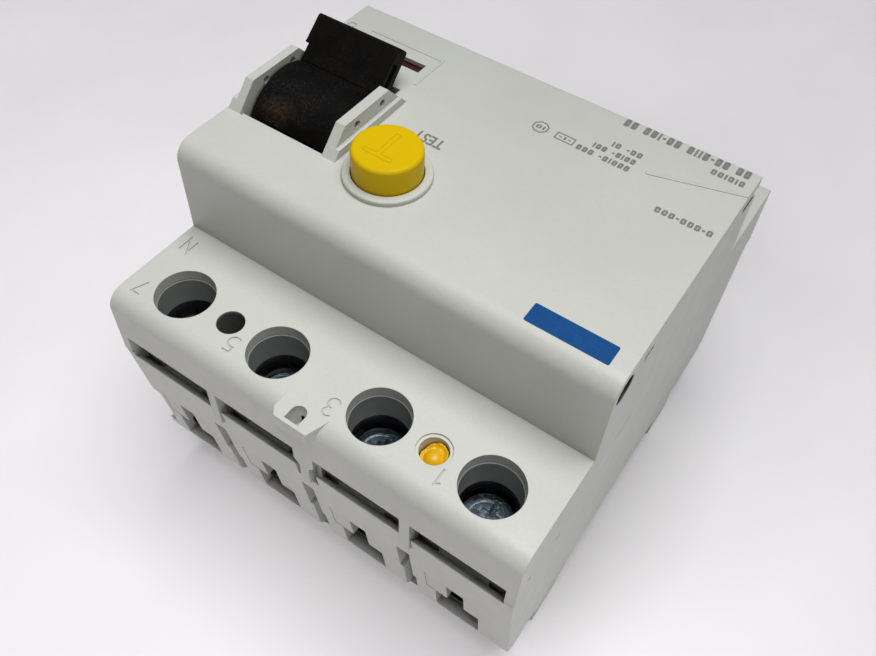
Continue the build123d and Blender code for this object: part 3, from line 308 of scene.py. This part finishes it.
def striped_winding():
    """Fine turns of enamelled wire round the coil's axis."""
    shader = Shader("winding_copper")
    wave = shader.add("ShaderNodeTexWave", bands_direction="X")
    wave.inputs["Scale"].default_value = 900.0
    wave.inputs["Distortion"].default_value = 0.4
    shader.join(shader.place, wave.inputs["Vector"])
    shader.colour(shader.mix(wave.outputs["Fac"], (0.22, 0.06, 0.02), (0.52, 0.20, 0.08)))
    shader.roughness(shader.span(shader.noise(0.5), 0.3, 0.7, 0.25, 0.4))
    shader.bump(wave.outputs["Fac"], 0.04)
    shader.set(Metallic=0.7)
    return shader.material


MATERIALS = {
    "case_plastic": case_plastic(),
    "lever_plastic": lever_plastic(),
    "yellow_plastic": yellow_plastic(),
    "dark_plastic": sleeve_plastic(),
    "guard_plastic": moulded("guard_plastic", (0.60, 0.61, 0.575), (0.56, 0.57, 0.54), 0.42, 0.06).material,
    "zinc_steel": metal("zinc_steel", (0.31, 0.37, 0.41), (0.17, 0.22, 0.26), 0.16),
    "spring_steel": metal("spring_steel", (0.50, 0.50, 0.52), (0.32, 0.32, 0.34), 0.3, (1, 1, 1), 0.2),
    "copper": metal("copper", (0.80, 0.42, 0.26), (0.55, 0.24, 0.13), 0.3, (0.3, 3, 1)),
    "silver_contact": metal("silver_contact", (0.82, 0.80, 0.76), (0.60, 0.58, 0.54), 0.28),
    "wire_insulation": moulded("wire_insulation", (0.07, 0.016, 0.010), (0.05, 0.012, 0.008), 0.3).material,
    "fibre": moulded("fibre", (0.22, 0.085, 0.045), (0.17, 0.060, 0.030), 0.6).material,
    "flag_red": flag_face(),
    "relay_plastic": moulded("relay_plastic", (0.05, 0.055, 0.07), (0.035, 0.04, 0.05), 0.4).material,
    "winding_copper": striped_winding(),
    "magnet": metal("magnet", (0.16, 0.16, 0.17), (0.09, 0.09, 0.10), 0.45),
    "core_band": metal("core_band", (0.55, 0.55, 0.57), (0.36, 0.36, 0.38), 0.3, (4, 0.4, 4)),
    "board_green": moulded("board_green", (0.03, 0.13, 0.05), (0.02, 0.10, 0.04), 0.3).material,
    "component_blue": moulded("component_blue", (0.05, 0.16, 0.36), (0.04, 0.12, 0.30), 0.3).material,
}
INK_GREY = printed("ink_grey", (0.215, 0.220, 0.212), (0.165, 0.170, 0.162))
INK_BLUE = printed("ink_blue", (0.001, 0.070, 0.245), (0.001, 0.058, 0.215))

for entry in frame["record"]["subparts"]:
    node = frame["nodes"][entry["node"]]
    if not node.material_slots:
        node.data.materials.append(None)
    for material_slot in node.material_slots:
        material_slot.material = MATERIALS[entry["material_slot"]]


# Printed marks -------------------------------------------------------------------------------
def mesh_piece(name, fill, material, body):
    """A new piece whose mesh is filled by a function given a bmesh."""
    mesh = bpy.data.meshes.new(name)
    shape = bmesh.new()
    fill(shape)
    shape.to_mesh(mesh)
    shape.free()
    piece = bpy.data.objects.new(name, mesh)
    bpy.context.collection.objects.link(piece)
    piece.data.materials.append(material)
    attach(piece, body)
    return piece


def slab(shape, corners, low, high):
    """A flat prism over a polygon, all in millimetres."""
    face = shape.faces.new([shape.verts.new((x * MM, y * MM, low * MM)) for x, y in corners])
    top = bmesh.ops.extrude_face_region(shape, geom=[face])["geom"]
    moved = [item for item in top if isinstance(item, bmesh.types.BMVert)]
    bmesh.ops.translate(shape, verts=moved, vec=(0, 0, (high - low) * MM))
    bmesh.ops.recalc_face_normals(shape, faces=shape.faces)


def rounded(x0, y0, x1, y1, radius, steps=4):
    """Corners of a rectangle with rounded corners."""
    corners = []
    for centre_x, centre_y, start in (
        (x1 - radius, y1 - radius, 0),
        (x0 + radius, y1 - radius, 90),
        (x0 + radius, y0 + radius, 180),
        (x1 - radius, y0 + radius, 270),
    ):
        for step in range(steps + 1):
            angle = math.radians(start + 90 * step / steps)
            corners.append((centre_x + radius * math.cos(angle), centre_y + radius * math.sin(angle)))
    return corners


def word_row(shape, x_right, x_left, y, height, z, pattern):
    """Plain marks in place of a line of small print: o is a hollow mark, i a bar, - a dash."""
    widths = {"o": 0.62, "i": 0.24, "-": 0.36, " ": 0.42}
    total = sum(widths[mark] for mark in pattern) + 0.20 * (len(pattern) - 1)
    scale = (x_right - x_left) / total
    stroke = min(0.28 * height, 0.42)
    x = x_right
    for mark in pattern:
        width = widths[mark] * scale
        box = (x - width, y - height / 2, x, y + height / 2)
        if mark == "o":
            inner = rounded(box[0] + stroke, box[1] + stroke, box[2] - stroke, box[3] - stroke, 0.05)
            outline(shape, rounded(*box, 0.3 * width), inner, z)
        elif mark == "i":
            slab(shape, rounded(*box, 0.05), z, z + PRINT)
        elif mark == "-":
            slab(shape, rounded(box[0], y - stroke / 2, box[2], y + stroke / 2, 0.05), z, z + PRINT)
        x -= width + 0.20 * scale


# right end, left end, middle Y, height and marks of each line
PRINT_LINES = (
    (-13.8, -33.6, -21.1, 1.75, "oo ooi-oo oiio-oo oo"),
    (-28.6, -33.6, -18.8, 1.2, "ooioio"),
    (-25.4, -33.8, -7.05, 1.15, "ooo-ooo-o"),
    (-14.6, -19.3, -15.5, 1.15, "io -oo"),
    (-12.4, -19.1, -13.7, 1.15, "ioo -oioo"),
    (-10.6, -19.0, -11.9, 1.15, "ooo -oiooo"),
)


def small_print(shape):
    for x_right, x_left, y, height, pattern in PRINT_LINES:
        word_row(shape, x_right, x_left, y, height, CAP_Z, pattern)


def outline(shape, corners, inner, z):
    """A thin printed outline between two polygons with matching corners."""
    count = len(corners)
    rings = []
    for points, height in ((corners, z), (inner, z), (inner, z + PRINT), (corners, z + PRINT)):
        rings.append([shape.verts.new((x * MM, y * MM, height * MM)) for x, y in points])
    for ring, following in zip(rings, rings[1:] + rings[:1]):
        for index in range(count):
            after = (index + 1) % count
            shape.faces.new((ring[index], ring[after], following[after], following[index]))
    bmesh.ops.recalc_face_normals(shape, faces=shape.faces)


def octagon(x, y, radius):
    """Corners of an octagon that stands on a side."""
    angles = [math.tau * (step + 0.5) / 8 for step in range(8)]
    return [(x + radius * math.cos(angle), y + radius * math.sin(angle)) for angle in angles]


def symbols(shape):
    """An octagon and a frame, each with small marks inside."""
    outline(shape, octagon(-4.3, -12.4, 1.35), octagon(-4.3, -12.4, 1.12), CAP_Z)
    word_row(shape, -3.6, -5.0, -12.4, 0.8, CAP_Z, "oi")
    frame_outer = rounded(-10.0, -13.1, -6.9, -11.5, 0.1, 1)
    frame_inner = rounded(-9.8, -12.9, -7.1, -11.7, 0.05, 1)
    outline(shape, frame_outer, frame_inner, CAP_Z)
    word_row(shape, -7.4, -9.5, -12.3, 0.6, CAP_Z, "-i-")


def blue_bar(shape):
    slab(shape, rounded(-32.4, 16.8, -20.7, 20.0, 0.25), CAP_Z, CAP_Z + PRINT)


mesh_piece("print_lines", small_print, INK_GREY, "housing")
mesh_piece("print_symbols", symbols, INK_GREY, "housing")
mesh_piece("print_blue_bar", blue_bar, INK_BLUE, "housing")


def letters(name, text, x, y, z, height, width, material, body):
    """Generic lettering as a thin mesh, upright when seen with +Y up."""
    curve = bpy.data.curves.new(name + "_outline", "FONT")
    curve.body = text
    curve.size = height * MM / 0.69
    curve.extrude = PRINT * MM / 2
    curve.resolution_u = 3
    curve.offset = 0.055 * MM
    holder = bpy.data.objects.new(name + "_outline", curve)
    bpy.context.collection.objects.link(holder)
    bpy.context.view_layer.update()
    mesh = bpy.data.meshes.new_from_object(holder)
    bpy.data.objects.remove(holder)
    natural = max(vertex.co.x for vertex in mesh.vertices)
    mesh.transform(Matrix.Diagonal((width * MM / natural, 1, 1, 1)))
    mesh.transform(Matrix.Translation((x * MM, y * MM, (z + PRINT / 2) * MM)))
    piece = bpy.data.objects.new(name, mesh)
    bpy.context.collection.objects.link(piece)
    piece.data.materials.clear()
    piece.data.materials.append(material)
    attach(piece, body)
    return piece


letters("print_test", "TEST", 4.7, -1.15, CAP_Z, 1.95, 5.0, INK_GREY, "housing")


LETTER_HALF_WIDTH = 2.3
LETTER_TOP = 2.4
LETTER_FOOT = 3.0
LETTER_STROKE = 0.8
LETTER_LINE = 0.09


def letter_corners(x, y, inset):
    """Corners of a plain T about a point, with its sides moved in by inset."""
    half, top, foot = LETTER_HALF_WIDTH - inset, LETTER_TOP - inset, LETTER_FOOT - inset
    under = LETTER_TOP - LETTER_STROKE + inset
    stem = LETTER_STROKE / 2 - inset
    right_half = [(stem, -foot), (stem, under), (half, under), (half, top)]
    left_half = [(-across, up) for across, up in reversed(right_half)]
    return [(x + across, y + up) for across, up in left_half + right_half]


def button_letter(shape):
    """The outline of a plain T, raised a hair above the button."""
    x, y = BUTTON_XY[0] + 0.2, BUTTON_XY[1]
    outline(shape, letter_corners(x, y, 0.0), letter_corners(x, y, LETTER_LINE), BUTTON_TOP)


mesh_piece("button_letter", button_letter, MATERIALS["yellow_plastic"], "test_button")


# Sealing plug --------------------------------------------------------------------------------
PLUG_SIDES = 64
PLUG_FOOT_Z = 39.2
PLUG_CREST_Z = 41.9
PLUG_CREST_RISE = 1.15
PLUG_CREST_AT = 240
# radius and height of the dome's rings, from its middle outwards
PLUG_DOME = ((0.0, 42.75), (0.45, 42.70), (0.85, 42.52), (1.15, 42.24), (1.36, 41.86), (1.46, 41.45))


def crest_height(angle):
    """Height of the torn rim, highest on one side."""
    far = max(0.0, math.cos(angle - math.radians(PLUG_CREST_AT)))
    tear = 0.10 * math.sin(7 * angle) + 0.07 * math.sin(13 * angle + 1.0) + 0.05 * math.sin(23 * angle)
    return PLUG_CREST_Z + PLUG_CREST_RISE * far**0.7 + tear


def ragged_plug(shape):
    """A pressed wax-like dome with a torn rim that stands up on the far side."""
    x, y = PLUG_XY
    sides = PLUG_SIDES
    rings = []
    for radius, z in PLUG_DOME:
        rings.append([(radius, z) for _ in range(sides)])
    crest = [crest_height(math.tau * step / sides) for step in range(sides)]
    rings.append([(1.56 + 0.04 * math.sin(9 * step), crest[step]) for step in range(sides)])
    rings.append([(1.80, crest[step] + 0.06) for step in range(sides)])
    rings.append([(1.94, crest[step] - 0.25) for step in range(sides)])
    rings.append([(1.96, PLUG_FOOT_Z) for _ in range(sides)])
    rows = []
    for ring in rings:
        row = []
        for step, (radius, z) in enumerate(ring):
            angle = math.tau * step / sides
            place = ((x + radius * math.cos(angle)) * MM, (y + radius * math.sin(angle)) * MM, z * MM)
            row.append(shape.verts.new(place))
        rows.append(row)
    for inner, outer in zip(rows, rows[1:]):
        for step in range(sides):
            after = (step + 1) % sides
            shape.faces.new((inner[step], outer[step], outer[after], inner[after]))
    shape.faces.new(list(reversed(rows[-1])))
    bmesh.ops.remove_doubles(shape, verts=shape.verts, dist=0.00001)
    bmesh.ops.recalc_face_normals(shape, faces=shape.faces)
    for face in shape.faces:
        face.smooth = True


plug = mesh_piece("torn_seal_plug", ragged_plug, seal_wax(), "housing")
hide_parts("seal_plug")


def squeezed_spring():
    """The button's return spring, copied with its own mesh onto the housing in place of the original."""
    node = frame["nodes"]["button_spring"]
    piece = bpy.data.objects.new("squeezed_button_spring", node.data.copy())
    bpy.context.collection.objects.link(piece)
    piece.matrix_world = node.matrix_world
    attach(piece, "housing")
    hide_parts("button_spring")
    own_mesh(piece)


squeezed_spring()


# Floor, light and camera -----------------------------------------------------------------------
FLOOR_Z = -5.5
FLOOR_HALF_SIZE = 1500.0
CEILING_PLACE = (-90, 5, 700)
CEILING_SIZE = (470, 470)
CEILING_WATTS = 4.9
PAPER_FILL_PLACE = (40, 420, 420)
PAPER_FILL_SIZE = (420, 300)
PAPER_FILL_WATTS = 2.3
ROOM_STRENGTH = 0.12
CAMERA_PLACE = (-47.41, 82.22, 144.16)
CAMERA_RIGHT = (-0.82514, -0.56342, 0.04125)
CAMERA_UP = (0.45362, -0.61728, 0.64280)
CAMERA_LENS = 36.61
CAMERA_SHIFT_X = -0.0064
CAMERA_SHIFT_Y = -0.0439


def floor():
    """A pale sheet of paper under the rear feet."""
    mesh = bpy.data.meshes.new("floor")
    shape = bmesh.new()
    bmesh.ops.create_grid(shape, x_segments=2, y_segments=2, size=FLOOR_HALF_SIZE * MM)
    bmesh.ops.translate(shape, verts=shape.verts, vec=(0, 0, FLOOR_Z * MM))
    shape.to_mesh(mesh)
    shape.free()
    sheet = bpy.data.objects.new("floor", mesh)
    bpy.context.collection.objects.link(sheet)
    shader = Shader("paper_floor")
    drift = shader.span(shader.noise(60.0, 3.0), 0.3, 0.7)
    shader.colour(shader.mix(drift, (0.60, 0.593, 0.613), (0.64, 0.633, 0.653)))
    shader.roughness(shader.span(shader.noise(4.0), 0.3, 0.7, 0.6, 0.75))
    shader.bump(shader.noise(0.8, 3.0), 0.02)
    sheet.data.materials.append(shader.material)
    return sheet


def area_light(name, place_mm, target_mm, size_mm, watts, colour):
    lamp = bpy.data.lights.new(name, "AREA")
    lamp.shape = "RECTANGLE"
    lamp.size = size_mm[0] * MM
    lamp.size_y = size_mm[1] * MM
    lamp.energy = watts
    lamp.color = colour
    holder = bpy.data.objects.new(name, lamp)
    bpy.context.collection.objects.link(holder)
    holder.location = Vector(place_mm) * MM
    aim = (Vector(target_mm) - Vector(place_mm)).to_track_quat("-Z", "Y")
    holder.rotation_euler = aim.to_euler()
    return holder


def lights(sheet):
    """A soft ceiling, a fill that only the floor receives, and a dim room, cool on -Y and warm on +Y."""
    area_light("ceiling_light", CEILING_PLACE, (0, 10, 30), CEILING_SIZE, CEILING_WATTS, (1.0, 0.995, 0.978))
    paper_fill = area_light(
        "paper_fill", PAPER_FILL_PLACE, (0, 60, 0), PAPER_FILL_SIZE, PAPER_FILL_WATTS, (1.0, 0.985, 0.99)
    )
    only_paper = bpy.data.collections.new("only_paper")
    only_paper.objects.link(sheet)
    paper_fill.light_linking.receiver_collection = only_paper
    world = bpy.data.worlds.new("soft_room")
    world.use_nodes = True
    tree = world.node_tree
    direction = tree.nodes.new("ShaderNodeTexCoord")
    parts = tree.nodes.new("ShaderNodeSeparateXYZ")
    tree.links.new(direction.outputs["Generated"], parts.inputs[0])
    ramp = tree.nodes.new("ShaderNodeMapRange")
    ramp.inputs["From Min"].default_value = -0.6
    ramp.inputs["From Max"].default_value = 0.6
    tree.links.new(parts.outputs["Y"], ramp.inputs["Value"])
    blend = tree.nodes.new("ShaderNodeMix")
    blend.data_type = "RGBA"
    blend.inputs[6].default_value = (0.90, 0.93, 1.05, 1.0)
    blend.inputs[7].default_value = (0.50, 0.42, 0.32, 1.0)
    tree.links.new(ramp.outputs["Result"], blend.inputs["Factor"])
    background = tree.nodes["Background"]
    tree.links.new(blend.outputs[2], background.inputs["Color"])
    background.inputs["Strength"].default_value = ROOM_STRENGTH
    bpy.context.scene.world = world
    bpy.context.scene.view_settings.view_transform = "Standard"


def camera():
    """A view from above the corner between the -X side and terminals 1, 3, 5 and 7N."""
    right = Vector(CAMERA_RIGHT)
    up = Vector(CAMERA_UP)
    back = right.cross(up)
    data = bpy.data.cameras.new("photo_view")
    data.sensor_width = 36.0
    data.lens = CAMERA_LENS
    data.shift_x = CAMERA_SHIFT_X
    data.shift_y = CAMERA_SHIFT_Y
    data.clip_start = 0.005
    holder = bpy.data.objects.new("photo_view", data)
    bpy.context.collection.objects.link(holder)
    turn = Matrix((right, up, back)).transposed().to_4x4()
    holder.matrix_world = Matrix.Translation(Vector(CAMERA_PLACE) * MM) @ turn
    bpy.context.scene.camera = holder


lights(floor())
camera()
